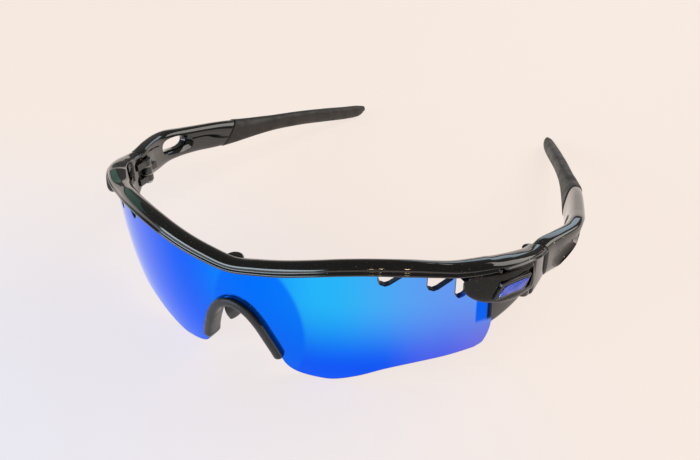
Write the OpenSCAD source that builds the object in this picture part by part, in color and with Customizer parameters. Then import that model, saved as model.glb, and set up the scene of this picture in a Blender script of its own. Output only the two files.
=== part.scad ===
// Wraparound sport sunglasses. One shield lens hangs in a groove under a half-rim brow, and a jaw
// holds it at each end. X runs to the wearer's left, Y to the back and Z up. The glasses stand on
// the lens and on the ear socks, as they do on a table.

/* [Lens] */
// Radius of the lens round the face, seen from above
lens_r = 79; // [76:0.5:84]
// Radius of the lens from top to bottom
lens_rise_r = 137; // [110:1:200]
// Height at which the lens stands furthest forward
lens_crown_z = 26.5; // [22:0.5:30]
// Thickness of the lens
lens_t = 1.8; // [1.4:0.1:2.2]
// Clearance between the lens and what holds it
lens_gap = 0.12; // [0.08:0.02:0.2]

/* [Brow] */
// How far the lower lip of the brow stands proud of the lens
brow_proud = 1.2; // [0.9:0.1:1.8]
// Depth of the brow behind the face of the lens
brow_depth = 3.9; // [3.5:0.1:4.6]
// Depth of the lens groove in the brow
groove_d = 1.9; // [1.5:0.1:2.2]
// Radius of the turn from the lens to the temple hinge
block_r = 32.2; // [28:0.1:38]
// Width of the tab at the middle of the brow
tab_w = 5; // [3:0.5:8]
// Height of that tab
tab_h = 2; // [1.5:0.1:2.4]

/* [Nose] */
// How far the nose bridge stands proud of the lens
bridge_proud = 1.9; // [1.4:0.1:2.6]
// Width of the nose bridge over the lens
bridge_w = 3.2; // [2.6:0.1:4]
// Depth of a nose pad behind the bridge
pad_depth = 9; // [7:0.5:12]
// Thickness of a nose pad
pad_t = 2.8; // [2:0.1:3.6]

/* [Jaw] */
// Thickness of the jaws over the end of the frame
jaw_t = 3.6; // [3.4:0.1:3.8]
// Seam between a jaw and the frame
jaw_gap = 0.25; // [0.2:0.05:0.4]
// Radius of the jaw pins
jaw_pin_r = 0.55; // [0.45:0.05:0.7]
// Radius of the round rear end of a jaw
jaw_lobe_r = 2.2; // [2:0.1:2.4]
// Length of the latch slider
slider_l = 9; // [8:0.5:10]
// Height of the latch slider
slider_h = 4.4; // [3.6:0.2:5]
// Travel of the latch slider
latch_travel = 2; // [1.5:0.1:2]
// Degrees that the jaw opens for each millimetre of slider travel
latch_ratio = 8; // [6:0.5:10]
// Radius of the post that runs in the slanted keeper slot
post_r = 0.45; // [0.35:0.05:0.5]

/* [Hinge] */
// Radius of the hinge knuckles
knuckle_r = 2; // [1.8:0.1:2.2]
// Radius of the hinge pins
hinge_pin_r = 0.7; // [0.5:0.05:0.9]
// Running clearance round a pin
run_gap = 0.05; // [0.03:0.01:0.08]
// Height of each hinge lug on the frame
lug_h = 2.2; // [1.8:0.1:2.4]
// Thickness of a hinge washer
washer_t = 0.3; // [0.2:0.05:0.4]

/* [Temples] */
// Length of the oval window in each temple
window_l = 14; // [10:0.5:16]
// Height of the oval window
window_h = 4; // [3:0.2:5]
// Wall of an ear sock over the tongue of its temple
sock_wall = 1.2; // [0.9:0.1:1.4]
// Clearance between an ear sock and the tongue
sock_gap = 0.08; // [0.05:0.01:0.12]
// How far an ear sock stands proud of the temple
sock_proud = 0.25; // [0:0.05:0.5]

/* [Hidden] */
$fn = 64;

moulding = [0.07, 0.08, 0.09];
rubber = [0.2, 0.19, 0.18];
mirror_blue = [0.2, 0.35, 0.85];
trim_blue = [0.1, 0.25, 0.8];
steel = [0.72, 0.73, 0.75];
nylon = [0.85, 0.85, 0.8];

// Smooth curves through the rows of a table. Column 0 is the position along the curve.
function row_below(t, x) = len([for (i = [1:1:len(t) - 2]) if (x >= t[i][0]) i]);
function slope(t, i, c) =
    let (a = max(i - 1, 0), b = min(i + 1, len(t) - 1))
    (t[b][c] - t[a][c]) / (t[b][0] - t[a][0]);
function at(t, x, c) =
    let (i = row_below(t, x), d = t[i + 1][0] - t[i][0], w = (x - t[i][0]) / d,
        p = t[i][c], q = t[i + 1][c], m = slope(t, i, c) * d, k = slope(t, i + 1, c) * d)
    p + w * (m + w * (3 * (q - p) - 2 * m - k + w * (2 * (p - q) + m + k)));
function steps(from, to, count) = [for (i = [0:count]) from + (to - from) * i / count];

// A closed solid through rings of equal count, each anticlockwise with the next ring nearer the eye.
// A ring with an inner corner is closed in two pieces, from its first point to the one at fold.
module loft(rings, fold = 0) {
    n = len(rings[0]);
    last = (len(rings) - 1) * n;
    sides = [for (i = [0:len(rings) - 2], j = [0:n - 1])
        let (a = i * n + j, b = i * n + (j + 1) % n)
        each [[a, b + n, b], [a, a + n, b + n]]];
    cap = [for (j = [fold:n - 1]) j];
    caps = fold == 0 ? [cap] : [[for (j = [0:fold]) j], concat(cap, [0])];
    ends = [for (c = caps) [for (j = [len(c) - 1:-1:0]) last + c[j]]];
    polyhedron([for (r = rings) each r], concat(caps, sides, ends));
}

// The face of the lens as a surface: heading h is the turn from straight ahead, n the distance
// outwards from the lens and z the height. Past wrap_h the surface turns tighter to the hinges.
wrap_h = 47.5;
function lens_drop(z) = lens_rise_r - sqrt(lens_rise_r ^ 2 - (z - lens_crown_z) ^ 2);
function spine(h) =
    let (a = min(abs(h), wrap_h), b = abs(h))
    [sign(h) * (lens_r * sin(a) + block_r * (sin(max(b, wrap_h)) - sin(wrap_h))),
        lens_r * (1 - cos(a)) + block_r * (cos(wrap_h) - cos(max(b, wrap_h)))];
function on_face(h, n, z) =
    let (m = n - lens_drop(z), s = spine(h)) [s.x + m * sin(h), s.y - m * cos(h), z];
function lens_heading(x, z) = asin(x / (lens_r - lens_drop(z)));

// Brow by heading: height of the lip, height of the crest, extra stand-out, extra depth
brow = [[-5.7, 33.2, 36.2, 0, 0], [0, 32.4, 35.2, 0, 0], [5.7, 33.2, 36.2, 0, 0],
    [10.5, 34, 37.1, 0, 0], [16, 35.1, 38.1, 0, 0], [21, 35.8, 38.8, 0, 0], [26.5, 35.9, 38.9, 0, 0],
    [33, 35, 38.2, 0, 0], [37.5, 34.1, 37.1, 0.1, 0], [41, 33.5, 36.3, 0.6, 0],
    [45, 33.5, 35.9, 1.3, -0.2], [51, 33.4, 35.3, 1.7, -0.5], [58.5, 33, 34.7, 1.7, -0.7],
    [67, 32.2, 33.7, 1.4, -0.8], [75, 31, 32.6, 1.1, -0.8], [84, 30.2, 31.7, 0.7, -0.8]];
// Share of the groove depth by heading: the groove runs out over the jaws
groove_share = [[0, 1], [36.7, 1], [40.4, 0.6], [44, 0.2], [52, 0.2]];
// Wall behind the lens by heading: how far it hangs below the lip
wall = [[0, 0.3], [39.5, 0.3], [41.3, 1.2], [45, 7], [47, 9.4], [52, 10.2]];
// Fin behind the end of the lens by heading: height of its lower edge
fin = [[49, 14.8], [51.5, 14.7], [58.5, 16.3], [67, 18.4], [71, 19.6], [76, 20.8], [84, 22]];
// Heading of the end of the lens, the same place on the tighter turn, and the front of the fin there
lens_end = wrap_h + 1;
held_end = wrap_h + (lens_end - wrap_h) * lens_r / block_r;
fin_h = held_end + 0.5;
frame_end = 83;
core_n = -0.3;
// Heading behind the jaws, from where the side of the frame is full
panel_h = 71;

// Point of a section where the back of the brow turns down into the wall
brow_back_point = 11;
function lip_z(h) = at(brow, abs(h), 1);
function crest_z(h) = at(brow, abs(h), 2);
function front_n(h) = brow_proud + at(brow, abs(h), 3);
function back_n(h) = -brow_depth - at(brow, abs(h), 4);
function groove_z(h) = lip_z(h) + groove_d * at(groove_share, abs(h), 1);

// One section of the frame: the lip, the hollow above it, the crest, the back and the groove.
function brow_ring(h) =
    let (lip = lip_z(h), top = crest_z(h), tall = top - lip, f = front_n(h), b = back_n(h),
        deep = f - b, held = abs(h) < fin_h,
        inner = held ? lens_gap : abs(h) < panel_h ? core_n : f - 0.6,
        behind = held ? -lens_t - lens_gap : (core_n + b) / 2,
        roof = held ? groove_z(h) : at(fin, abs(h), 1),
        foot = held ? lip - at(wall, abs(h), 1) : roof)
    [for (p = [[inner, lip], [f - 0.35, lip], [f, lip + 0.1 * tall], [f - 0.05, lip + 0.24 * tall],
        [f - 0.5, lip + 0.36 * tall], [f - 0.6, lip + 0.56 * tall], [f - 1, lip + 0.76 * tall],
        [f - 1.8, lip + 0.93 * tall], [b + 0.52 * deep, top], [b + 0.25 * deep, top - 0.12 * tall],
        [b + 0.07 * deep, top - 0.36 * tall], [b, top - 0.62 * tall], [b, foot + 0.5],
        [b + 0.4, foot], [behind, foot], [behind, roof], [inner, roof]])
        on_face(h, p[0], p[1])];

// Hinge axis of the left temple, inside the end of the frame. The frame ends at hinge_seam before it.
hinge_h = 74.5;
hinge_x = spine(hinge_h).x - 2.2;
hinge_y = spine(hinge_h).y + 4.9;
hinge_seam = 1.1;
hinge_low = 22;
hinge_high = 29.6;
knuckle_low = hinge_low + lug_h + washer_t + 2 * run_gap;
knuckle_high = hinge_high - lug_h - washer_t - 2 * run_gap;
part_gap = 0.3;

// Pin of the left jaw
jaw_pin_h = 66.4;
jaw_pin_n = 0.5;
jaw_pin = on_face(jaw_pin_h, jaw_pin_n, lens_crown_z);
jaw_low = 23.8;
lobe_sunk = 0.2;
jaw_pin_low = 21.8;
jaw_pin_high = 32.9;
function jaw_top(h) = lip_z(h) - jaw_gap;

// Temple by distance behind the hinge: sideways offset, thickness, top, bottom, lean, roundness
arm = [[-0.8, 2.5, 5, 31.7, 22.2, 0, 0.5], [3, 3.4, 5.3, 31.6, 21.3, 0, 0.5],
    [8, 5.1, 5.4, 31.1, 20.2, 0.4, 0.55], [16, 7, 5.2, 29.9, 19.6, 1.6, 0.6],
    [22, 7.1, 5, 28.9, 18.8, 2, 0.65], [28, 6.4, 4.8, 27.1, 17.9, 1.6, 0.65],
    [38, 4.7, 4.6, 24, 16.3, 0.5, 0.7], [53, 1.3, 4.4, 19.6, 13.7, 0, 0.75],
    [68, -2.9, 4.4, 16.9, 11.3, 0, 0.8], [84, -8, 4.4, 13.7, 8, 0, 0.8], [98, -12.8, 4.4, 10.3, 4.6, 0, 0.8],
    [111, -17.2, 4.2, 6.7, 1.5, 0, 0.8], [118, -19.6, 3.4, 4.9, 0.5, 0, 0.85],
    [121.6, -20.8, 1.6, 3.6, 1.5, 0, 1]];
// Slant of the section by distance behind the hinge: the sock starts on a slant
slant = [[-1, 0], [24, 0], [48, 5], [74, 0], [122, 0]];
sock_start = 48;
tongue_end = 98;
arm_end = arm[len(arm) - 1][0];
sock_taper = arm[len(arm) - 3][0];
arm_sides = 16;

function curl(v, p) = sign(v) * pow(abs(v), p);
function section(x, y, z, half_x, half_z, lean, skew, p) =
    [for (i = [0:arm_sides - 1])
        let (a = 360 * (i + 0.5) / arm_sides, u = curl(cos(a), p), v = curl(sin(a), p))
        [x + lean * v / 2 - half_x * u, y + skew * v, z + half_z * v]];
function arm_ring(d, inset) =
    section(hinge_x + at(arm, d, 1), hinge_y + d, (at(arm, d, 3) + at(arm, d, 4)) / 2,
        at(arm, d, 2) / 2 - inset, (at(arm, d, 3) - at(arm, d, 4)) / 2 - inset,
        at(arm, d, 5), at(slant, d, 1), at(arm, d, 6));

// The glasses are centred between the foremost point of the nose bridge and the sock tips.
center_y = (hinge_y + arm_end - bridge_proud) / 2;
module placed() {
    translate([0, -center_y, 0]) children();
}
module on_side(side) {
    mirror([side < 0 ? 1 : 0, 0, 0]) children();
}
// Frame on the left end block: X to the back along it, -Y outwards, Z up from height z.
module on_block(h, z) {
    translate([spine(h).x, spine(h).y, z]) rotate([0, 0, h]) children();
}
module at_hinge() {
    translate([hinge_x, hinge_y, 0]) children();
}
module at_jaw_pin() {
    translate([jaw_pin.x, jaw_pin.y, 0]) children();
}
module rod(r, low, high) {
    translate([0, 0, low]) cylinder(r = r, h = high - low);
}

// Latch: the slider runs back along the jaw while its post runs out of a slanted slot in the brow.
slider_h_at = 55;
slider_z = 28.7;
slider_n = 1.5;
slider_t = 2.1;
slider_lean = 1;
slider_gap = 0.15;
post_back = -slider_l / 2 + 1.6;
post_n = slider_n + slider_gap + 0.1;
post_top = lip_z(slider_h_at) + 0.6;
post_dir = [cos(slider_h_at), sin(slider_h_at)];
post_out = [sin(slider_h_at), -cos(slider_h_at)];
post_xy = spine(slider_h_at) + post_back * post_dir + (post_n - lens_drop(slider_z)) * post_out;
post_arm = post_xy - [jaw_pin.x, jaw_pin.y];
post_path = post_dir + latch_ratio * PI / 180 * [-post_arm.y, post_arm.x];
keeper_l = 6;
keeper_h = 3;
inlay_t = 0.5;
inlay_sunk = 0.25;
inlay_rim = 0.9;
inlay_seat = 0.03;

// Leaning plate with its long edges level, seen from outside. grow widens it, tail lengthens it.
module lean_plate(long, grow, tail, thick) {
    l = long / 2 + grow;
    h = slider_h / 2 + grow;
    rotate([90, 0, 0]) linear_extrude(thick)
        polygon([[-l - slider_lean, -h], [l + tail - slider_lean, -h], [l + tail + slider_lean, h],
            [-l + slider_lean, h]]);
}
module in_pocket(n, h = slider_h_at) {
    on_block(h, slider_z) translate([0, -n + lens_drop(slider_z), 0]) children();
}

// Lugs of the frame, on necks that reach forward into its end
lug_reach = 5;
lug_neck = 0.4;
module hinge_lugs() {
    for (low = [hinge_low, hinge_high - lug_h]) at_hinge() translate([0, 0, low]) linear_extrude(lug_h) {
        circle(knuckle_r);
        translate([lug_neck - knuckle_r, -lug_reach]) square([2 * (knuckle_r - lug_neck), lug_reach]);
    }
}
// Room for the knuckles between two heights
module knuckle_room(low, high) {
    at_hinge() rod(knuckle_r + part_gap, low, high);
}
// What the frame leaves free at the hinge: the knuckles below the top bar, and all behind the seam
module hinge_room() {
    behind = 20;
    knuckle_room(hinge_low - behind, hinge_high + part_gap);
    at_hinge() translate([-behind, -hinge_seam, 0]) cube([2 * behind, behind, 2 * behind]);
}

module keeper_slot() {
    translate([post_xy.x, post_xy.y, post_top + part_gap - keeper_h])
        rotate([0, 0, atan2(post_path.y, post_path.x)]) linear_extrude(keeper_h) {
            circle(post_r + part_gap);
            translate([0, -post_r - part_gap]) square([keeper_l, 2 * (post_r + part_gap)]);
        }
}

module brow_tab() {
    translate([0, brow_depth - 1, crest_z(0) - tab_h - 0.5]) linear_extrude(tab_h) intersection() {
        circle(tab_w / 2);
        translate([-tab_w, 0]) square(2 * tab_w);
    }
}

module brow_blank() {
    half = concat(steps(frame_end, panel_h, 6), steps(panel_h - 0.3, fin_h, 8), steps(held_end + 0.2, 0, 23));
    headings = concat(half, [for (i = [len(half) - 2:-1:0]) -half[i]]);
    loft([for (h = headings) brow_ring(h)], brow_back_point);
    brow_tab();
    for (side = [1, -1]) on_side(side) at_jaw_pin() rod(jaw_lobe_r - 0.4, jaw_pin_low, jaw_low - jaw_gap);
}

module brow_frame() {
    color(moulding) placed() difference() {
        union() {
            difference() {
                brow_blank();
                for (side = [1, -1]) on_side(side) hinge_room();
            }
            for (side = [1, -1]) on_side(side) hinge_lugs();
        }
        for (side = [1, -1]) on_side(side) {
            at_hinge() rod(hinge_pin_r, hinge_low - 1, hinge_high + 1);
            at_jaw_pin() rod(jaw_pin_r, jaw_pin_low - 1, jaw_pin_high);
            at_jaw_pin() rod(jaw_lobe_r + jaw_gap, jaw_low - jaw_gap, lip_z(jaw_pin_h) + lobe_sunk);
        }
        keeper_slot();
    }
}

// Lens outline from the front
lens_foot = [[12.5, 2.6], [16, 1.1], [20, 0.25], [24, 0], [30, 1.7], [37, 4.6], [44, 6.3], [51, 7.2],
    [56, 8]];
lens_corner = [[57.8, 9.3], [58.8, 11.2], [59.2, 13.5], [61, 16]];
// Vents in the top edge of the lens: start, lowest place, end, lowest height
vents = [[36.2, 37.6, 41.2, 32.6], [46.2, 47.5, 51, 30], [51.8, 52.6, 55, 26.6]];
// Edge of the nose notch by step from the middle: sideways, height
notch = [[-1, -4, 21.3], [0, 0, 23], [1, 4, 21.3], [2, 6.9, 17.6], [3, 9, 13], [4, 10.4, 9.4],
    [5, 11.3, 6.4]];
notch_steps = 5;
lens_top = 42;

function notch_at(k) = [sign(k) * at(notch, abs(k), 1), at(notch, abs(k), 2)];

module lens_shell() {
    reach = 20;
    translate([0, lens_r, 0]) rotate_extrude(angle = 2 * lens_end, start = -90 - lens_end, $fn = 360)
        intersection() {
            difference() {
                translate([lens_r - lens_rise_r, lens_crown_z]) circle(lens_rise_r, $fn = 720);
                translate([lens_r - lens_rise_r - lens_t, lens_crown_z]) circle(lens_rise_r, $fn = 720);
            }
            translate([lens_r - reach, -1]) square([reach + 1, lens_top]);
        }
}

// Heading of the back of the lens where its face has heading h, at the same sideways place
function behind_lens(h) = asin(sin(h) * lens_r / (lens_r - lens_t));

module lens_outline() {
    crown = [for (h = steps(0, lens_end + 1.5, 30))
        [(lens_r - lens_drop(lip_z(h))) * sin(h), min(groove_z(h), groove_z(behind_lens(h))) - lens_gap]];
    foot = [for (x = steps(lens_foot[len(lens_foot) - 1][0], lens_foot[0][0], 24)) [x, at(lens_foot, x, 1)]];
    nose = [for (k = steps(notch_steps, 0, 20)) notch_at(k)];
    end = [for (i = [len(lens_corner) - 1:-1:0]) lens_corner[i]];
    half = concat(crown, end, foot, nose);
    difference() {
        polygon(concat(half, [for (i = [len(half) - 1:-1:0]) [-half[i].x, half[i].y]]));
        for (side = [1, -1], v = vents) scale([side, 1])
            polygon([[v[0], lens_top], [v[0], v[3] + 1.6], [v[0] + 0.4, v[3] + 0.5], [v[1], v[3]],
                [v[1] + 0.8, v[3] + 0.3], [v[2], v[3] + 2.4], [v[2] + 0.6, lens_top]]);
    }
}

module shield_lens() {
    color(mirror_blue) placed() intersection() {
        lens_shell();
        translate([0, lens_r, 0]) rotate([90, 0, 0]) linear_extrude(lens_r + 5) lens_outline();
    }
}

// Section of the nose bridge: distance up over the lens, distance out of the lens
bridge_in = 1.6;
function bridge_section() =
    let (w = bridge_w / 2, f = bridge_proud, g = lens_gap, b = -lens_t - lens_gap)
    [[w, g], [w, f * 0.45], [w * 0.75, f * 0.8], [0, f], [-bridge_in * 0.75, f * 0.85],
        [-bridge_in, f * 0.3], [-bridge_in, b - 0.5], [-bridge_in * 0.75, b - 1.3], [0, b - 1.6],
        [w * 0.7, b - 1.2], [w * 0.8, b], [-g, b], [-g, g]];
function notch_normal(k) =
    let (d = notch_at(min(k + 0.05, notch_steps)) - notch_at(max(k - 0.05, -notch_steps)))
    [-d.y, d.x] / norm(d);
function beside_lens(p, n) = on_face(lens_heading(p.x, p.y), n, p.y);

module nose_bridge() {
    color(rubber) placed()
        loft([for (k = steps(notch_steps, -notch_steps, 40))
            let (m = notch_normal(k))
            [for (s = bridge_section()) beside_lens(notch_at(k) + s[0] * m, s[1])]]);
}

// Nose pad: a soft tongue along one leg of the bridge, standing back from it
pad_top = 1.4;
pad_foot = 4.9;
pad_sides = 12;
module nose_pad(side) {
    color(rubber) placed() on_side(side)
        loft([for (i = [0:12])
            let (w = i / 12, k = pad_top + (pad_foot - pad_top) * w, m = notch_normal(k),
                e = max(sqrt(1 - (2 * w - 1) ^ 2), 0.18), c = notch_at(k) - 0.4 * m,
                back = lens_t + lens_gap + 1.2)
            [for (j = [0:pad_sides - 1])
                let (a = 360 * j / pad_sides, u = curl(cos(a), 0.8), v = curl(sin(a), 0.8),
                    q = c + pad_t / 2 * e * u * m,
                    f = beside_lens(q, -back))
                [f.x - 0.12 * pad_depth * e * (1 - v), f.y + pad_depth * e * (1 - v) / 2, f.z]]]);
}

// Jaw by heading: lower edge, drop of the upper edge below the seam, share of the stand-out
jaw = [[42.2, 29, 2.2, 0.05], [42.8, 27.6, 1.2, 0.28], [44, 26.2, 0.3, 0.56], [46, 24.9, 0, 0.8],
    [49, 24.2, 0, 0.95], [53, 23.9, 0, 1], [59, 23.8, 0, 1], [65, 23.8, 0, 0.94]];
// The fixed cover on the right is shorter and ends in a blunt front
cover = [[53, 29.4, 0.8, 0.5], [53.8, 27.4, 0.3, 0.85], [55.4, 25.8, 0, 1.12], [58, 24.5, 0, 1.2],
    [61, 24, 0, 1.2], [63.5, 23.9, 0, 1.15], [65, 23.9, 0, 0.9]];
cover_inlay_h = 60;
cover_inlay_l = 5;
cover_inlay_t = 1.2;
cover_inlay_n = core_n + jaw_gap + at(cover, cover_inlay_h, 3) * jaw_t - cover_inlay_t + inlay_sunk;
// Clearance between the jaw and the lens, kept until the jaw has passed the front of the fin
jaw_lens_gap = 0.3;
jaw_step_h = fin_h + 0.6;
function jaw_ring(rows, h) =
    let (low = at(rows, h, 1), high = jaw_top(h) - at(rows, h, 2), tall = high - low,
        inner = h < jaw_step_h ? jaw_lens_gap : core_n + jaw_gap,
        o = max(core_n + jaw_gap + at(rows, h, 3) * jaw_t, inner + 0.8))
    [for (p = [[inner, low], [o - 0.9, low], [o - 0.3, low + 0.12 * tall], [o, low + 0.32 * tall],
        [o, low + 0.7 * tall], [o - 0.15, low + 0.9 * tall], [o - 0.6, high], [inner, high]])
        on_face(h, p[0], p[1])];

module jaw_lobe() {
    at_jaw_pin() rod(jaw_lobe_r, jaw_low, jaw_top(jaw_pin_h));
}
module jaw_blank() {
    tip = jaw[0][0];
    rear = jaw[len(jaw) - 1][0];
    loft([for (h = concat(steps(rear, jaw_step_h, 8), steps(jaw_step_h - 0.4, tip, 8))) jaw_ring(jaw, h)]);
    jaw_lobe();
}
module cover_blank() {
    loft([for (h = steps(cover[len(cover) - 1][0], cover[0][0], 14)) jaw_ring(cover, h)]);
    jaw_lobe();
}

module left_jaw() {
    color(moulding) placed() difference() {
        jaw_blank();
        at_jaw_pin() rod(jaw_pin_r + run_gap, jaw_low - 1, jaw_pin_high);
        in_pocket(slider_n) lean_plate(slider_l, slider_gap, latch_travel + slider_gap, 4);
        in_pocket(post_n + post_r + slider_gap)
            translate([post_back - post_r - slider_gap, 0, 0])
                cube([2 * post_r + latch_travel + 2 * slider_gap, 2 * (post_r + slider_gap), 8]);
    }
}

module right_jaw() {
    color(moulding) placed() on_side(-1) difference() {
        cover_blank();
        at_jaw_pin() rod(jaw_pin_r, jaw_low - 1, jaw_pin_high);
        in_pocket(cover_inlay_n, cover_inlay_h) lean_plate(cover_inlay_l, inlay_seat - inlay_rim, 0, 4);
    }
}

module jaw_pin_rod() {
    at_jaw_pin() rod(jaw_pin_r, jaw_pin_low, jaw_pin_high);
}
module left_jaw_pin() {
    color(steel) placed() jaw_pin_rod();
}
module right_jaw_pin() {
    color(steel) placed() on_side(-1) jaw_pin_rod();
}

module latch_slider() {
    color(moulding) placed() {
        difference() {
            in_pocket(slider_n + slider_gap) lean_plate(slider_l, 0, 0, slider_t);
            in_pocket(slider_n + slider_gap + slider_t - inlay_sunk)
                lean_plate(slider_l, inlay_seat - inlay_rim, 0, 1);
        }
        in_pocket(post_n) translate([post_back, 0, slider_h / 2 - 0.5])
            cylinder(r = post_r, h = post_top - slider_z - slider_h / 2 + 0.5);
    }
}

module latch_inlay() {
    color(trim_blue) placed() in_pocket(slider_n + slider_gap + slider_t - inlay_sunk)
        lean_plate(slider_l, -inlay_rim, 0, inlay_t);
}
module right_inlay() {
    color(trim_blue) placed() on_side(-1) in_pocket(cover_inlay_n, cover_inlay_h)
        lean_plate(cover_inlay_l, -inlay_rim, 0, cover_inlay_t);
}

// A length that reaches through a temple from side to side
arm_t = 10;
window_back = 21.6;
window_z = 24.4;
window_tilt = -12;
// Scoop in the outer side of a temple, in front of the window
scoop_back = 11;
scoop_z = 23.4;
scoop_h = 5.6;
scoop_r = 14;
scoop_depth = 1.5;
module scoop() {
    out = at(arm, scoop_back, 1) + at(arm, scoop_back, 2) / 2 - scoop_depth;
    at_hinge() translate([out + scoop_r, scoop_back, 0])
        rod(scoop_r, scoop_z - scoop_h / 2, scoop_z + scoop_h / 2);
}
// Column on the hinge axis with a web back to the arm, which the room for the lugs cuts to a knuckle
web_w = 2.4;
web_l = 4;
module temple_knuckle() {
    spare = 1;
    at_hinge() translate([0, 0, knuckle_low - spare]) linear_extrude(knuckle_high - knuckle_low + 2 * spare) {
        circle(knuckle_r);
        translate([-web_w / 2, 0]) square([web_w, web_l]);
    }
}
module temple(side) {
    body = concat([for (d = steps(arm[0][0], sock_start, 22)) arm_ring(d, 0)],
        [for (d = steps(sock_start, tongue_end, 12)) arm_ring(d, sock_wall)]);
    color(moulding) placed() on_side(side) difference() {
        union() {
            loft(body);
            temple_knuckle();
        }
        at_hinge() rod(hinge_pin_r + run_gap, knuckle_low - 1, knuckle_high + 1);
        knuckle_room(hinge_low - 2, knuckle_low);
        knuckle_room(knuckle_high, hinge_high + part_gap);
        scoop();
        translate([hinge_x - arm_t, hinge_y + window_back, window_z]) rotate([window_tilt, 0, 0])
            rotate([90, 0, 90]) linear_extrude(4 * arm_t) {
                for (end = [-1, 1]) translate([end * (window_l - window_h) / 2, 0]) circle(window_h / 2);
                square([window_l - window_h, window_h], center = true);
            }
    }
}
module left_temple() {
    temple(1);
}
module right_temple() {
    temple(-1);
}

module ear_sock(side) {
    cavity = [for (d = steps(tongue_end + sock_gap, sock_start + sock_gap, 12))
        arm_ring(d, sock_wall - sock_gap)];
    skin = [for (d = concat(steps(sock_start + sock_gap, sock_taper, 16), steps(sock_taper + 2, arm_end, 6)))
        arm_ring(d, -sock_proud)];
    color(rubber) placed() on_side(side) loft(concat(cavity, skin));
}
module left_ear_sock() {
    ear_sock(1);
}
module right_ear_sock() {
    ear_sock(-1);
}

hinge_head_r = 1.6;
hinge_head_h = 0.8;
module hinge_pin(side) {
    color(steel) placed() on_side(side) at_hinge() difference() {
        union() {
            rod(hinge_pin_r, hinge_low, hinge_high);
            rod(hinge_head_r, hinge_low - hinge_head_h, hinge_low);
        }
        translate([-hinge_head_r, -0.2, hinge_low - hinge_head_h - 1]) cube([2 * hinge_head_r, 0.4, 1.4]);
    }
}
module left_hinge_pin() {
    hinge_pin(1);
}
module right_hinge_pin() {
    hinge_pin(-1);
}

module hinge_washers(side) {
    color(nylon) placed() on_side(side) at_hinge()
        for (low = [hinge_low + lug_h, hinge_high - lug_h - washer_t]) difference() {
            rod(knuckle_r, low, low + washer_t);
            rod(hinge_pin_r, low - 1, low + 1);
        }
}
module left_hinge_washers() {
    hinge_washers(1);
}
module right_hinge_washers() {
    hinge_washers(-1);
}

brow_frame();
shield_lens();
nose_bridge();
nose_pad(1);  // nose_pad_left
nose_pad(-1);  // nose_pad_right
left_jaw();
left_jaw_pin();
latch_slider();
latch_inlay();
right_jaw();
right_jaw_pin();
right_inlay();
left_temple();
left_ear_sock();
left_hinge_pin();
left_hinge_washers();
right_temple();
right_ear_sock();
right_hinge_pin();
right_hinge_washers();
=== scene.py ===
"""Looks of the wraparound sport sunglasses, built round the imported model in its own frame."""
import math

import bmesh
import bpy
from mathutils import Matrix, Vector
from mathutils.geometry import delaunay_2d_cdt


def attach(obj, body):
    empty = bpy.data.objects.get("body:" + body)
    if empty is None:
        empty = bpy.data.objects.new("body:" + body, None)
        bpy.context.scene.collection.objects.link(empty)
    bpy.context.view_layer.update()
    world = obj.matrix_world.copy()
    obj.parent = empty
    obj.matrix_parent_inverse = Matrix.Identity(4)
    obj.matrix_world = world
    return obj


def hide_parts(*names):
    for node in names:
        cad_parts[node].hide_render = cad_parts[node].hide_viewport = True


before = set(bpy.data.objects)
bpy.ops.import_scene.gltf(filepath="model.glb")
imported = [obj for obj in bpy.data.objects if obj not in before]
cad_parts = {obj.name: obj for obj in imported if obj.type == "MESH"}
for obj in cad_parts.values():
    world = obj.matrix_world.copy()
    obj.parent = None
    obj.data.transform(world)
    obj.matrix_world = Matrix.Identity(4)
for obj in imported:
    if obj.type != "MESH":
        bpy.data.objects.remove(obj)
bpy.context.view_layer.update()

scene = bpy.context.scene
MM = 0.001

# Sizes of the part in millimetres and degrees, with the nose at Y = 0. A name in _H is a heading round the
# face, 0 at the nose, and a name in _N is a distance out of the face of the lens.

# Lens
LENS_R = 79.0  # radius round the face, seen from above
RISE_R = 137.0  # radius from top to bottom
CROWN_Z = 26.5  # height at which the lens stands furthest forward
LENS_TOP = 35  # height near its top edge, at which its width is measured
LENS_T = 1.8
LENS_GAP = 0.12  # clearance between the lens and what holds it
LENS_BEVEL = 0.22
LEAST_EDGE = 0.08  # points of the outline that lie closer are merged

# Brow and end blocks
BLOCK_R = 32.2  # radius of the turn from the lens to the hinge
WRAP_H = 47.5  # where that turn starts
LENS_END_H = WRAP_H + 1  # end of the lens, by its own radius
HELD_END_H = WRAP_H + (LENS_END_H - WRAP_H) * LENS_R / BLOCK_R  # the same end, by the radius of the turn
FIN_H = HELD_END_H + 0.5  # where the end block with its fin starts
PANEL_H = 71.0  # where the full side of the frame starts
BLOCK_END_H = 80.6
CORE_N = -0.3  # side of the block under a jaw
BROW_PROUD = 1.2
BROW_DEPTH = 3.9
GROOVE_D = 1.9
TAB_R, TAB_TALL = 2.5, 2.0

# Nose: the bridge of the solid sets the middle of the part
SOLID_BRIDGE_PROUD = 1.9
BRIDGE_UP, BRIDGE_LOW, BRIDGE_PROUD = 1.25, 1.45, 1.8
BRIDGE_TIP = 0.35  # length over which an end of the bridge closes
PAD_TOP, PAD_RUN = 1.4, 3.5  # along the notch
PAD_HALF_T, PAD_DEPTH = 1.4, 9
PAD_SET_BACK = 4.2  # of its lower end, which stands free of the bridge
PAD_LEAN = 0.24

# Jaws and their pins
JAW_T = 3.6
JAW_GAP = 0.25  # seam between a jaw and the frame
JAW_LOW = 23.8
JAW_LENS_GAP = 0.3
JAW_STEP_H = FIN_H + 0.6  # where the inner side steps in behind the lens
LOBE_R = 2.2  # round rear end of a jaw
PIN_H, PIN_N = 66.4, 0.5

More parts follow.
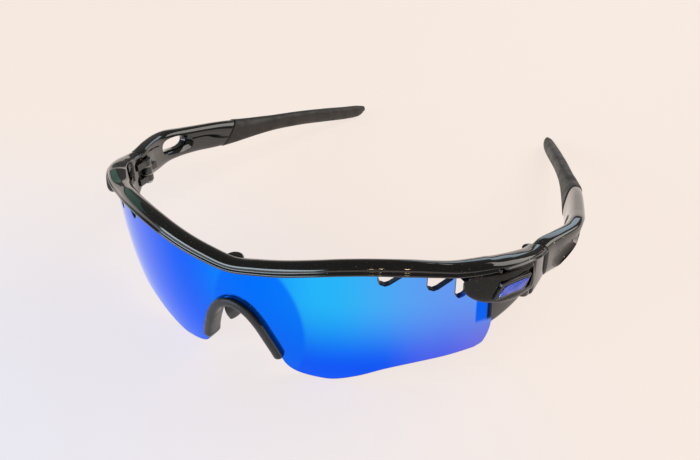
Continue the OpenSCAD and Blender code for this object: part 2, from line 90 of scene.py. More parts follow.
# Hinges
HINGE_H = 74.5
HINGE_LOW, HINGE_HIGH = 22.0, 29.6
HINGE_SEAM = 1.1  # from the end of the frame to the hinge axis
KNUCKLE_R = 2.0
PART_GAP = 0.3  # room round a knuckle and round the post of the latch
LUG_TALL, LUG_REACH, LUG_NECK = 2.2, 5.0, 0.4
WEB_W, WEB_L = 2.4, 4.0

# Temples, by distance behind the hinge
SCOOP_MID, SCOOP_HALF = 10.2, 8.4  # hollow in the outer side
SCOOP_OUT, SCOOP_UP = 0.9, 4  # its axis, off the outer side and above the lower edge
SCOOP_RX, SCOOP_RZ = 3, 3.8
WINDOW_X, WINDOW_BACK, WINDOW_Z, WINDOW_TILT = 7, 21.6, 24.4, -12  # its middle, outside and behind the hinge axis
WINDOW_HALF_L, WINDOW_HALF_TALL, WINDOW_ROUND = 6.6, 2.1, 0.85
SHOULDER, TONGUE_END, TONGUE_IN = 48, 60, 1.2  # the tongue goes into the ear sock
SOCK_PROUD, SOCK_BORE, SOCK_LIP = 0.25, 1.3, 0.5

# Brow by heading: lip, crest, extra stand-out, extra depth
BROW = [(-5.7, 33.2, 36.2, 0, 0), (0, 32.4, 35.2, 0, 0), (5.7, 33.2, 36.2, 0, 0), (10.5, 34, 37.1, 0, 0),
        (16, 35.1, 38.1, 0, 0), (21, 35.8, 38.8, 0, 0), (26.5, 35.9, 38.9, 0, 0), (33, 35, 38.2, 0, 0),
        (37.5, 34.1, 37.1, 0.1, 0), (41, 33.5, 36.3, 0.6, 0), (45, 33.5, 35.9, 1.3, -0.2),
        (51, 33.4, 35.3, 1.7, -0.5), (58.5, 33, 34.7, 1.7, -0.7), (67, 32.2, 33.7, 1.4, -0.8),
        (75, 31, 32.6, 1.1, -0.8), (84, 30.2, 31.7, 0.7, -0.8)]
# Brow section: distance behind its face and share of its height, then share of its depth and drop from its top
BROW_FACE = [(0.35, 0), (0, 0.1), (0.05, 0.24), (0.5, 0.36), (0.6, 0.56), (1, 0.76), (1.8, 0.93)]
BROW_BACK = [(0.52, 0), (0.25, 0.12), (0.07, 0.36), (0, 0.62)]
# By heading: share of the groove's depth, height of the wall behind the lens, and foot of the fin
GROOVE = [(0, 1), (36.7, 1), (40.4, 0.6), (44, 0.2), (52, 0.2)]
WALL = [(0, 0.3), (39.5, 0.3), (41.3, 1.2), (45, 7), (47, 9.4), (52, 10.2)]
FIN = [(49, 14.8), (51.5, 14.7), (58.5, 16.3), (67, 18.4), (71, 19.6), (76, 20.8), (84, 22)]
# Temple by distance behind the hinge: offset, thickness, top, bottom, lean, roundness
ARM = [(-0.8, 2.5, 5, 31.7, 22.2, 0, 0.5), (3, 3.4, 5.3, 31.6, 21.3, 0, 0.5),
       (8, 5.1, 5.4, 31.1, 20.2, 0.4, 0.55), (16, 7, 5.2, 29.9, 19.6, 1.6, 0.6),
       (22, 7.1, 5, 28.9, 18.8, 2, 0.65), (28, 6.4, 4.8, 27.1, 17.9, 1.6, 0.65),
       (38, 4.7, 4.6, 24, 16.3, 0.5, 0.7), (53, 1.3, 4.4, 19.6, 13.7, 0, 0.75),
       (68, -2.9, 4.4, 16.9, 11.3, 0, 0.8), (84, -8, 4.4, 13.7, 8, 0, 0.8), (98, -12.8, 4.4, 10.3, 4.6, 0, 0.8),
       (111, -17.2, 4.2, 6.7, 1.5, 0, 0.8), (118, -19.6, 3.4, 4.9, 0.5, 0, 0.85),
       (121.6, -20.8, 1.6, 3.6, 1.5, 0, 1)]
# By the same distance: how far the top of a section lies behind its middle
SLANT = [(-1, 0), (24, 0), (48, 5), (74, 0), (122, 0)]
# Latched jaw and fixed cover by heading: lower edge, drop of the upper edge, share of the stand-out
JAW = [(42.2, 29, 2.2, 0.05), (42.8, 27.6, 1.2, 0.28), (44, 26.2, 0.3, 0.56), (46, 24.9, 0, 0.8),
       (49, 24.2, 0, 0.95), (53, 23.9, 0, 1), (59, 23.8, 0, 1), (65, 23.8, 0, 0.94)]
COVER = [(53, 29.4, 0.8, 0.5), (53.8, 27.4, 0.3, 0.85), (55.4, 25.8, 0, 1.12), (58, 24.5, 0, 1.2),
         (61, 24, 0, 1.2), (63.5, 23.9, 0, 1.15), (65, 23.9, 0, 0.9)]
# Outer side of a jaw section: share of the lean, share of the height
JAW_FACE = [(0.9, 0), (0.25, 0.1), (0, 0.25), (0.1, 0.5), (0.35, 0.74), (0.7, 0.93), (1.05, 1)]
# Lens, seen from the front: height of its foot by X, X of its lower outer corner by height, and the arc that
# turns the foot up to the nose, as its start in X, its corner and its end
LENS_FOOT = [(12.5, 2.6), (16, 1.1), (20, 0.25), (24, 0), (30, 1.7), (37, 4.6), (44, 6.3), (51, 7.2), (56, 8)]
LENS_CORNER = [(8, 56), (9.3, 57.9), (11.2, 59.4), (13.5, 60.5), (16, 61)]
FOOT_TURN_X, FOOT_TURN_CORNER, FOOT_TURN_END = 15.5, (12.4, 2.5), (11.6, 5.4)
# Vents in the top edge: left, lowest point and right in X, and height of the lowest point
VENTS = [(36.2, 37.6, 41.2, 32.6), (46.2, 47.5, 51, 30), (51.8, 52.6, 55, 26.6)]
# Half of the nose notch, by station: X and height
NOTCH = [(-1, -4, 21.3), (0, 0, 23), (1, 4, 21.3), (2, 6.9, 17.6), (3, 9, 13), (4, 10.4, 9.4), (5, 11.3, 6.4)]
NOTCH_END = NOTCH[-1][0]

SOFT = 9  # a corner cut that reaches the middle of both its sides


def sind(a):
    return math.sin(math.radians(a))


def cosd(a):
    return math.cos(math.radians(a))


def curl(v, p):
    """Power of a signed number: below 1 it squares up a round section."""
    return math.copysign(abs(v) ** p, v)


def curve(rows, x, c):
    """Smooth curve through the rows of a table, read at x in column c."""
    i = sum(1 for r in rows[1:-1] if x >= r[0])

    def slope(k):
        a, b = rows[max(k - 1, 0)], rows[min(k + 1, len(rows) - 1)]
        return (b[c] - a[c]) / (b[0] - a[0])

    d = rows[i + 1][0] - rows[i][0]
    w = (x - rows[i][0]) / d
    p, q, m, k = rows[i][c], rows[i + 1][c], slope(i) * d, slope(i + 1) * d
    return p + w * (m + w * (3 * (q - p) - 2 * m - k + w * (2 * (p - q) + m + k)))


def steps(start, end, count):
    return [start + (end - start) * i / count for i in range(count + 1)]


def lens_drop(z):
    return RISE_R - math.sqrt(RISE_R ** 2 - (z - CROWN_Z) ** 2)


def spine(h):
    """Point of the face at heading h, seen from above."""
    a, b = min(abs(h), WRAP_H), max(abs(h), WRAP_H)
    x = LENS_R * sind(a) + BLOCK_R * (sind(b) - sind(WRAP_H))
    return (math.copysign(x, h), LENS_R * (1 - cosd(a)) + BLOCK_R * (cosd(WRAP_H) - cosd(b)))


def on_face(h, n, z):
    """Point at heading h, distance n out of the lens face and height z."""
    m = n - lens_drop(z)
    x, y = spine(h)
    return (x + m * sind(h), y - m * cosd(h), z)


def beside_lens(p, n):
    """Point at distance n out of the lens face, given by X and height as seen from the front."""
    return on_face(math.degrees(math.asin(p[0] / (LENS_R - lens_drop(p[1])))), n, p[1])


def lip_z(h):
    return curve(BROW, abs(h), 1)


def groove_z(h):
    return lip_z(h) + GROOVE_D * curve(GROOVE, abs(h), 1)


HINGE = (spine(HINGE_H)[0] - 2.2, spine(HINGE_H)[1] + 4.9)
KNUCKLE_LOW, KNUCKLE_HIGH = HINGE_LOW + LUG_TALL + 0.4, HINGE_HIGH - LUG_TALL - 0.4
JAW_PIN = on_face(PIN_H, PIN_N, CROWN_Z)
MID_Y = (HINGE[1] + ARM[-1][0] - SOLID_BRIDGE_PROUD) / 2


# Meshes

def bezier(a, corner, b, t):
    return tuple((1 - t) ** 2 * a + 2 * t * (1 - t) * corner + t * t * b)


def rounded(points, cuts, k=5):
    """Closed outline with each corner cut back by its own length and turned in a smooth arc."""
    out = []
    for i, p in enumerate(points):
        a, b = Vector(points[i - 1]), Vector(points[(i + 1) % len(points)])
        p = Vector(p)
        da, db = max((a - p).length, 1e-6), max((b - p).length, 1e-6)
        start = p + (a - p) * min(cuts[i] / da, 0.49)
        end = p + (b - p) * min(cuts[i] / db, 0.49)
        out += [bezier(start, p, end, t) for t in steps(0, 1, k)]
    return out


def arc(cx, cy, r, start, end, k):
    return [(cx + r * cosd(a), cy + r * sind(a)) for a in steps(start, end, k)]


def circle(cx, cy, r, sides):
    return arc(cx, cy, r, 0, 360 - 360 / sides, sides - 1)


def face_ring(h, points, cuts, k=5):
    """Rounded section that stands across the face at heading h."""
    return [on_face(h, n, z) for n, z in rounded(points, cuts, k)]


def loft(rings):
    """Vertices and faces of a closed skin through rings of equal count."""
    n = len(rings[0])
    faces = [(i * n + j, i * n + (j + 1) % n, (i + 1) * n + (j + 1) % n, (i + 1) * n + j)
             for i in range(len(rings) - 1) for j in range(n)]
    last = (len(rings) - 1) * n
    faces += [tuple(range(n)), tuple(range(last, last + n))]
    return [p for r in rings for p in r], faces


def gather(parts):
    verts, faces = [], []
    for v, f in parts:
        faces += [tuple(len(verts) + i for i in face) for face in f]
        verts += v
    return verts, faces


def mirrored(part):
    return [(-x, y, z) for x, y, z in part[0]], part[1]


def on_side(part, side):
    return part if side > 0 else mirrored(part)


def moved(part, matrix):
    return [tuple(matrix @ Vector(p)) for p in part[0]], part[1]


def shrunk(ring, d):
    """The ring with each point moved by d towards the middle."""
    c = sum((Vector(p) for p in ring), Vector((0,) * len(ring[0]))) / len(ring)
    return [tuple(Vector(p) + (c - Vector(p)).normalized() * d) for p in ring]


def inset(outline, d):
    """Outline moved inwards by d along its own normals."""
    area = sum(a[0] * b[1] - b[0] * a[1] for a, b in zip(outline, outline[1:] + outline[:1]))
    turn = 1 if area > 0 else -1
    out = []
    for i, p in enumerate(outline):
        a, b = Vector(outline[i - 1]), Vector(outline[(i + 1) % len(outline)])
        u, v = (Vector(p) - a).normalized(), (b - Vector(p)).normalized()
        m = Vector((-u.y - v.y, u.x + v.x)) * turn
        m = m.normalized() if m.length > 1e-6 else Vector((0, 0))
        out.append(tuple(Vector(p) + m * d))
    return out


def slab(outline, low, high, edge=0.3, k=4):
    """Plate from an outline in X and Y, with rounded edges at both faces."""
    rings = []
    for base, way, angles in ((low, 1, steps(0, 90, k)), (high, -1, steps(90, 0, k))):
        for t in angles:
            z = base + way * edge * (1 - cosd(t))
            rings.append([(x, y, z) for x, y in inset(outline, edge * (1 - sind(t)))])
    return loft(rings)


def mesh_of(name, part):
    """Mesh in the frame of the part, in metres, with its faces turned outwards."""
    mesh = bpy.data.meshes.new(name)
    mesh.from_pydata([(x * MM, (y - MID_Y) * MM, z * MM) for x, y, z in part[0]], [], part[1])
    bm = bmesh.new()
    bm.from_mesh(mesh)
    bmesh.ops.recalc_face_normals(bm, faces=bm.faces)
    bm.to_mesh(mesh)
    bm.free()
    return mesh


def shade(mesh, crease=32):
    mesh.polygons.foreach_set("use_smooth", [True] * len(mesh.polygons))
    mesh.set_sharp_from_angle(angle=math.radians(crease))


def cut_by(part, *tools):
    """The part with the tools taken out of it."""
    obj = bpy.data.objects.new("blank", mesh_of("blank", part))
    scene.collection.objects.link(obj)
    for tool_part in tools:
        tool = bpy.data.objects.new("tool", mesh_of("tool", tool_part))
        scene.collection.objects.link(tool)
        cut = obj.modifiers.new("cut", "BOOLEAN")
        cut.operation, cut.solver, cut.object = "DIFFERENCE", "EXACT", tool
        with bpy.context.temp_override(object=obj, active_object=obj, selected_objects=[obj]):
            bpy.ops.object.modifier_apply(modifier="cut")
        bpy.data.objects.remove(tool)
    mesh = obj.data
    verts = [(v.co.x / MM, v.co.y / MM + MID_Y, v.co.z / MM) for v in mesh.vertices]
    faces = [tuple(f.vertices) for f in mesh.polygons]
    bpy.data.objects.remove(obj)
    return verts, faces


def piece(name, part, body, slot, material, *nodes, crease=32):
    """One visible piece that rides on a body and stands for its CAD nodes."""
    mesh = mesh_of(name, part)
    obj = bpy.data.objects.new(name, mesh)
    scene.collection.objects.link(obj)
    shade(mesh, crease)
    mesh.materials.append(material)
    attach(obj, body)
    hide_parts(*nodes)
    return obj


def second_material(obj, material, chosen):
    """Give the faces for which chosen(number, face) holds a second material."""
    obj.data.materials.append(material)
    for i, poly in enumerate(obj.data.polygons):
        poly.material_index = 1 if chosen(i, poly) else 0


# Latch: the slider runs back in the jaw, and its post runs out of the slot in the brow
SLIDER_H, SLIDER_Z, SLIDER_N = 55.0, 28.7, 1.5
SLIDER_T, SLIDER_L, SLIDER_TALL, SLIDER_GAP = 2.1, 9.0, 4.4, 0.15
SLIDER_FACE_N = SLIDER_N + SLIDER_GAP + SLIDER_T
LATCH_TRAVEL, LATCH_RATIO = 2.0, 8.0  # millimetres, and degrees of the jaw for each
POST_R, POST_BACK, POST_N = 0.45, 1.6 - SLIDER_L / 2, SLIDER_N + SLIDER_GAP + 0.1
POST_TOP = lip_z(SLIDER_H) + 0.6
KEEPER_L, KEEPER_TALL = 6.0, 3.0
SLIDE_DIR = Vector((cosd(SLIDER_H), sind(SLIDER_H)))
SLIDE_OUT = Vector((sind(SLIDER_H), -cosd(SLIDER_H)))
POST = Vector(spine(SLIDER_H)) + POST_BACK * SLIDE_DIR + (POST_N - lens_drop(SLIDER_Z)) * SLIDE_OUT
POST_ARM = POST - Vector(JAW_PIN[:2])
POST_PATH = SLIDE_DIR + math.radians(LATCH_RATIO) * Vector((-POST_ARM.y, POST_ARM.x))
INLAY_T, INLAY_SUNK, INLAY_RIM, INLAY_SEAT = 0.5, 0.25, 0.9, 0.03
COVER_INLAY_H, COVER_INLAY_L, COVER_INLAY_T, COVER_SUNK = 60.0, 5.0, 1.2, 0.5
COVER_INLAY_N = CORE_N + JAW_GAP + curve(COVER, COVER_INLAY_H, 3) * JAW_T - COVER_INLAY_T + INLAY_SUNK


# Materials

def plug(tree, socket, value):
    """Link a socket to its source, or set its plain value."""
    if isinstance(value, bpy.types.NodeSocket):
        tree.links.new(value, socket)
    else:
        socket.default_value = value


def own_point(tree):
    return tree.nodes.new("ShaderNodeTexCoord").outputs["Object"]


def axes(tree, where):
    split = tree.nodes.new("ShaderNodeSeparateXYZ")
    tree.links.new(where, split.inputs[0])
    return split.outputs


def reach(tree, where, location, scale=(1, 1, 1)):
    """Length of a point that has been scaled and then moved."""
    place, length = tree.nodes.new("ShaderNodeMapping"), tree.nodes.new("ShaderNodeVectorMath")
    place.inputs["Location"].default_value = location
    place.inputs["Scale"].default_value = scale
    length.operation = "LENGTH"
    tree.links.new(where, place.inputs["Vector"])
    tree.links.new(place.outputs["Vector"], length.inputs[0])
    return length.outputs["Value"]


def maths(tree, operation, *values):
    node = tree.nodes.new("ShaderNodeMath")
    node.operation = operation
    for socket, v in zip(node.inputs, values):
        plug(tree, socket, v)
    return node.outputs[0]


def ranged(tree, value, start, end, low=0, high=1, shape="SMOOTHSTEP"):
    node = tree.nodes.new("ShaderNodeMapRange")
    node.interpolation_type = shape
    sockets = ("Value", "From Min", "From Max", "To Min", "To Max")
    for socket, v in zip(sockets, (value, start, end, low, high)):
        plug(tree, node.inputs[socket], v)
    return node.outputs["Result"]


def noise(tree, scale, detail, coords):
    node = tree.nodes.new("ShaderNodeTexNoise")
    for socket, v in (("Scale", scale), ("Detail", detail), ("Vector", coords)):
        plug(tree, node.inputs[socket], v)
    return node.outputs["Fac"]


def mixed(tree, factor, a, b):
    """Blend of two colours, each one a tuple or a socket."""
    node = tree.nodes.new("ShaderNodeMix")
    node.data_type = "RGBA"
    tree.links.new(factor, node.inputs["Factor"])
    for socket, v in (("A", a), ("B", b)):
        plug(tree, node.inputs[socket], (*v, 1) if isinstance(v, tuple) else v)
    return node.outputs["Result"]


def ramp(tree, value, stops):
    node = tree.nodes.new("ShaderNodeValToRGB")
    node.color_ramp.interpolation = "EASE"
    while len(node.color_ramp.elements) < len(stops):
        node.color_ramp.elements.new(0.5)
    for element, (place, colour) in zip(node.color_ramp.elements, stops):
        element.position = place
        element.color = (*colour, 1)
    tree.links.new(value, node.inputs["Fac"])
    return node.outputs["Color"]


def group(name, inputs, output):
    """Node group of plain numbers, with its input and output nodes."""
    tree = bpy.data.node_groups.new(name, "ShaderNodeTree")
    for label, value in inputs.items():
        socket = tree.interface.new_socket(label, in_out="INPUT", socket_type="NodeSocketFloat")
        socket.default_value = value
    tree.interface.new_socket(output, in_out="OUTPUT", socket_type="NodeSocketFloat")
    return tree, tree.nodes.new("NodeGroupInput"), tree.nodes.new("NodeGroupOutput")


def finger_smudge():
    """Soft patches where a surface has been handled, between two values."""
    tree, into, out = group("finger_smudge", {"Scale": 90, "Low": 0.05, "High": 0.15}, "Value")
    soft = noise(tree, into.outputs["Scale"], 3, own_point(tree))
    patches = ranged(tree, soft, 0.38, 0.66, into.outputs["Low"], into.outputs["High"])
    tree.links.new(patches, out.inputs["Value"])
    return tree


def dust_specks():
    """Sparse bright specks of dust."""
    tree, into, out = group("dust_specks", {"Scale": 2600, "Density": 0.72}, "Mask")
    fine = noise(tree, into.outputs["Scale"], 1, own_point(tree))
    tree.links.new(ranged(tree, fine, into.outputs["Density"], 0.86), out.inputs["Mask"])
    return tree


def mould_grain():
    """Fine height of a moulded or rubber surface."""
    tree, into, out = group("mould_grain", {"Scale": 3000, "Waves": 250}, "Height")
    where = own_point(tree)
    fine, wide = noise(tree, into.outputs["Scale"], 4, where), noise(tree, into.outputs["Waves"], 2, where)
    tree.links.new(maths(tree, "ADD", fine, wide), out.inputs["Height"])
    return tree


SMUDGE, DUST, GRAIN = finger_smudge(), dust_specks(), mould_grain()


def placed_group(tree, which, **values):
    node = tree.nodes.new("ShaderNodeGroup")
    node.node_tree = which
    for name, value in values.items():
        node.inputs[name].default_value = value
    return node.outputs[0]


def finish(name, **plain):
    """A material with its Principled shader, whose plain values are set on its own sockets."""
    material = bpy.data.materials.new(name)
    material.use_nodes = True
    tree = material.node_tree
    shader = tree.nodes["Principled BSDF"]
    for key, value in plain.items():
        shader.inputs[key.replace("_", " ")].default_value = value
    return material, tree, shader


def worn(tree, scale, fresh, used):
    """Colour that shifts between two tones in handled patches."""
    return mixed(tree, placed_group(tree, SMUDGE, Scale=scale, Low=0, High=1), fresh, used)


def dusted(tree, base, scale, density, speck):
    return mixed(tree, placed_group(tree, DUST, Scale=scale, Density=density), base, speck)


def handled(tree, shader, scale, low, high):
    """Roughness that shifts between two values in handled patches."""
    tree.links.new(placed_group(tree, SMUDGE, Scale=scale, Low=low, High=high), shader.inputs["Roughness"])


def grained(tree, shader, scale, waves, strength, distance):
    bump = tree.nodes.new("ShaderNodeBump")
    bump.inputs["Strength"].default_value = strength
    bump.inputs["Distance"].default_value = distance
    tree.links.new(placed_group(tree, GRAIN, Scale=scale, Waves=waves), bump.inputs["Height"])
    tree.links.new(bump.outputs["Normal"], shader.inputs["Normal"])


def polished_black(name, ior, coat, density):
    """Glossy black with a faint cast and dust."""
    material, tree, shader = finish(name, IOR=ior, Coat_Weight=coat, Coat_Roughness=0.02)
    cast = ranged(tree, noise(tree, 35, 2, own_point(tree)), 0.35, 0.7)
    base = mixed(tree, cast, (0.0045, 0.0038, 0.0032), (0.0025, 0.0045, 0.004))
    tree.links.new(dusted(tree, base, 2600, density, (0.3, 0.25, 0.2)), shader.inputs["Base Color"])
    handled(tree, shader, 120, 0.035, 0.1)
    grained(tree, shader, 900, 160, 0.05, 0.00006)
    return material


def soft_moulding(name, dark, light, low, high, grain):
    """Satin plastic or rubber with dust."""
    material, tree, shader = finish(name, IOR=1.5)
    base = worn(tree, 160, dark, light)
    tree.links.new(dusted(tree, base, 3400, 0.74, tuple(4 * c for c in light)), shader.inputs["Base Color"])
    handled(tree, shader, 260, low, high)
    grained(tree, shader, grain, 300, 0.25, 0.00008)
    return material


# Mirror coat, in metres of the part: colours across the lens at its top and at its foot, which add painted reflection
# tones to the coat's blue, the oval zone round the nose in painted reflection blue, and the painted reflection strip
# at the held end with a painted shade line beside it
COAT_HALF_W, COAT_TALL = 0.06, 0.036
COAT_REFLECTION_HIGH = [(0.02, (0.14, 0.2, 0.95)), (0.2, (0.06, 0.15, 1)), (0.36, (0.002, 0.13, 1)),
             (0.54, (0.0, 0.28, 1)), (0.7, (0.02, 0.5, 1)), (0.95, (0.13, 0.34, 1))]
COAT_REFLECTION_LOW = [(0.03, (0.03, 0.13, 1)), (0.14, (0.0, 0.11, 1)), (0.5, (0.0, 0.12, 1)),
            (0.8, (0.002, 0.1, 1)), (0.9, (0.07, 0.12, 0.93)), (1, (0.16, 0.15, 0.8))]
NOSE_REFLECTION_MOVE, NOSE_REFLECTION_SCALE, NOSE_REFLECTION_BLUE = (-0.5, 0, -0.85), (80, 0, 50), (0.0, 0.15, 1)
REFLECTION_STRIP_X, REFLECTION_STRIP_Z, REFLECTION_STRIP_BLUE = (0.0559, 0.0562), (0.0165, 0.018), (0.0, 0.13, 1)
SHADE_LINE_X, SHADE_LINE_DARK = (0.0581, 0.0584), (0.002, 0.006, 0.03)


def mirror_with_painted_light():
    """Blue mirror on the face of the lens, with painted reflection tones: violet to one side, cyan past the nose,
    violet low down. It glows faintly in the same colours, a painted glow.
    """
    # Emission Strength 0.1 makes the lens glow faintly in its own colours: painted light.
    material, tree, shader = finish("mirror_with_painted_light", Metallic=1.0, Emission_Strength=0.1,
                                    Specular_Tint=(0.84, 0.94, 1, 1))
    where = own_point(tree)
    at = axes(tree, where)
    # Colour shifts across and up the lens: painted reflection tones over the coat's blue.
    across = ranged(tree, at["X"], -COAT_HALF_W, COAT_HALF_W, shape="LINEAR")
    up = ranged(tree, at["Z"], 0.0, COAT_TALL, shape="LINEAR")
    face = mixed(tree, ranged(tree, up, 0.12, 0.8), ramp(tree, across, COAT_REFLECTION_LOW), ramp(tree, across, COAT_REFLECTION_HIGH))
    # Painted reflection: a blue oval round the nose.
    nose = ranged(tree, reach(tree, where, NOSE_REFLECTION_MOVE, NOSE_REFLECTION_SCALE), 0.94, 1.06, 0.8, 0)
    face = mixed(tree, nose, face, NOSE_REFLECTION_BLUE)
    # Painted reflection: a bright blue strip at the held end, with a painted shade line along its outer side.
    reflection_strip = mixed(tree, ranged(tree, at["X"], *SHADE_LINE_X), REFLECTION_STRIP_BLUE, SHADE_LINE_DARK)
    end = maths(tree, "MULTIPLY", ranged(tree, at["X"], *REFLECTION_STRIP_X), ranged(tree, at["Z"], *REFLECTION_STRIP_Z))
    coat = mixed(tree, end, face, reflection_strip)
    # The coat colour, with its painted reflection and shade, also feeds the faint painted glow.
    tree.links.new(coat, shader.inputs["Base Color"])
    tree.links.new(coat, shader.inputs["Emission Color"])
    handled(tree, shader, 70, 0.03, 0.06)
    return material


def smoke_tint():
    """Inner face and edge of the lens: dark tinted polycarbonate, blue at both ends."""
    material, tree, shader = finish("smoke_tint", IOR=1.5)
    ends = ranged(tree, maths(tree, "ABSOLUTE", axes(tree, own_point(tree))["X"]), 0.0515, 0.0535)
    tint = worn(tree, 60, (0.006, 0.016, 0.06), (0.01, 0.03, 0.11))
    tree.links.new(mixed(tree, ends, tint, (0.0, 0.08, 0.8)), shader.inputs["Base Color"])
    handled(tree, shader, 110, 0.12, 0.24)
    return material


def turned_steel():
    material, tree, shader = finish("turned_steel", Metallic=1.0)
    tree.links.new(worn(tree, 700, (0.45, 0.45, 0.46), (0.62, 0.62, 0.64)), shader.inputs["Base Color"])
    handled(tree, shader, 1500, 0.2, 0.38)
    grained(tree, shader, 5000, 2400, 0.15, 0.00003)
    return material


def natural_nylon():
    material, tree, shader = finish("natural_nylon", IOR=1.53)
    tree.links.new(worn(tree, 500, (0.62, 0.6, 0.53), (0.72, 0.7, 0.64)), shader.inputs["Base Color"])
    handled(tree, shader, 900, 0.35, 0.5)
    return material


def blue_insert():
    material, tree, shader = finish("blue_insert", Metallic=0.85, Coat_Weight=0.5, Coat_Roughness=0.05)
    tree.links.new(worn(tree, 300, (0.06, 0.13, 0.75), (0.16, 0.2, 0.85)), shader.inputs["Base Color"])
    handled(tree, shader, 900, 0.16, 0.28)
    grained(tree, shader, 4000, 900, 0.12, 0.00003)
    return material


BLACK = polished_black("polished_black", 1.58, 0.5, 0.69)
JAW_BLACK = polished_black("jaw_black", 1.4, 0.0, 0.64)
MIRROR, SMOKE = mirror_with_painted_light(), smoke_tint()
SATIN = soft_moulding("satin_grey", (0.022, 0.022, 0.023), (0.034, 0.034, 0.035), 0.3, 0.44, 2600)
PAD = soft_moulding("pad_rubber", (0.018, 0.018, 0.019), (0.028, 0.028, 0.029), 0.5, 0.68, 2200)
SOCK = soft_moulding("sock_rubber", (0.033, 0.029, 0.026), (0.05, 0.044, 0.039), 0.46, 0.62, 1800)
STEEL, NYLON, INSERT = turned_steel(), natural_nylon(), blue_insert()


# Brow, end blocks and hinge lugs

FRONT_CUTS = [0.25, 0.5, 0.5] + [SOFT] * 8


def brow_front(h):
    """Back of a brow section, and its lip, hollow, crest and back as points out of the face and up."""
    lip, top = lip_z(h), curve(BROW, abs(h), 2)
    face, back = BROW_PROUD + curve(BROW, abs(h), 3), -BROW_DEPTH - curve(BROW, abs(h), 4)
    tall, deep = top - lip, face - back
    points = [(face - n, lip + share * tall) for n, share in BROW_FACE]
    return back, points + [(back + share * deep, top - drop * tall) for share, drop in BROW_BACK]


def span_ring(h):
    """Section over the lens, with the groove that takes its top edge."""
    lip, roof, (back, front) = lip_z(h), groove_z(h), brow_front(h)
    foot, behind = lip - curve(WALL, abs(h), 1), -LENS_T - LENS_GAP
    inside = [(back, foot + 0.5), (back + 0.4, foot), (behind, foot), (behind, roof), (LENS_GAP, roof)]
    return face_ring(h, [(LENS_GAP, lip)] + front + inside, [0.1] + FRONT_CUTS + [0.4, 0.3, 0.2, 0.1, 0.1])


def block_ring(h):
    """Section past the lens: the fin behind its end, the seat of the jaw with the round relief for its pin,
    and behind that the full side of the frame."""
    lip, (back, front) = lip_z(h), brow_front(h)
    foot, seat, turn = curve(FIN, h, 1), JAW_LOW - JAW_GAP, 0.9
    if h < PANEL_H:
        s = math.radians(h - PIN_H) * (BLOCK_R + PIN_N)
        side = CORE_N
        deep = min(side, PIN_N - math.sqrt(max((LOBE_R + JAW_GAP) ** 2 - s * s, 0)))
    else:
        side = deep = BROW_PROUD + curve(BROW, h, 3) - 0.6 - 0.4 * max(0.0, 1 - (h - PANEL_H) / 0.9) ** 2
    inside = [(back, foot + turn), (back + turn, foot), (side - turn, foot), (side, foot + turn), (side, seat),
              (deep - 0.001, seat + 0.01)]
    return face_ring(h, [(deep, lip)] + front + inside, [0.1] + FRONT_CUTS + [turn] * 4 + [0.15, 0.1])


def knuckle_room(low, high):
    return slab(circle(*HINGE, KNUCKLE_R + PART_GAP, 48), low, high, 0.05)


def hinge_lugs():
    x, y = HINGE
    neck = KNUCKLE_R - LUG_NECK
    plan = [(x - neck, y - LUG_REACH), (x + neck, y - LUG_REACH)] + arc(x, y, KNUCKLE_R, -36.9, 216.9, 30)
    return [slab(plan, low, low + LUG_TALL, 0.2) for low in (HINGE_LOW, HINGE_HIGH - LUG_TALL)]


def end_block():
    """End of the frame, which stops on a plane before the hinge axis, and the pieces that join it: the seat
    under the jaw's pin and the hinge lugs."""
    rings = [block_ring(h) for h in steps(FIN_H - 0.1, PANEL_H - 0.06, 90) + steps(PANEL_H, 80, 40)]
    end, turn = HINGE[1] - HINGE_SEAM, 0.3
    slope = math.tan(math.radians(BLOCK_END_H))
    last = [(x + (end - turn - y) / slope, end - turn, z) for x, y, z in block_ring(BLOCK_END_H)]
    rings.append(last)
    rings += [[(x, end - turn * (1 - sind(t)), z) for x, y, z in shrunk(last, turn * (1 - cosd(t)))]
              for t in steps(18, 90, 4)]
    seat = slab(circle(*JAW_PIN[:2], LOBE_R - 0.4, 24), 21.8, JAW_LOW - JAW_GAP, 0.3)
    return cut_by(loft(rings), knuckle_room(HINGE_LOW - 20, HINGE_HIGH + PART_GAP)), [seat] + hinge_lugs()


def keeper_slot():
    """Slot in the lip of the brow that the post of the latch runs out of."""
    wide = POST_R + PART_GAP
    plan = arc(0, 0, wide, 90, 270, 16) + [(KEEPER_L, -wide), (KEEPER_L, wide)]
    high = POST_TOP + PART_GAP
    turn = Matrix.Rotation(math.atan2(POST_PATH.y, POST_PATH.x), 4, "Z")
    return moved(slab(plan, high - KEEPER_TALL, high, 0.08), Matrix.Translation((POST.x, POST.y, 0)) @ turn)


def brow():
    span = loft([span_ring(h) for h in steps(FIN_H, -FIN_H, 300)])
    tab_y, tab_top = BROW_DEPTH - 1, curve(BROW, 0, 2) - 0.5
    tab = slab(arc(0, tab_y, TAB_R, 0, 180, 24), tab_top - TAB_TALL, tab_top, 0.6)
    block, joins = end_block()
    slot = keeper_slot()
    parts = [cut_by(span, slot), tab, cut_by(block, slot)] + joins
    parts += [mirrored(part) for part in [block] + joins]
    return piece("brow", gather(parts), "front", "frame_black", BLACK, "brow_frame")


# Lens

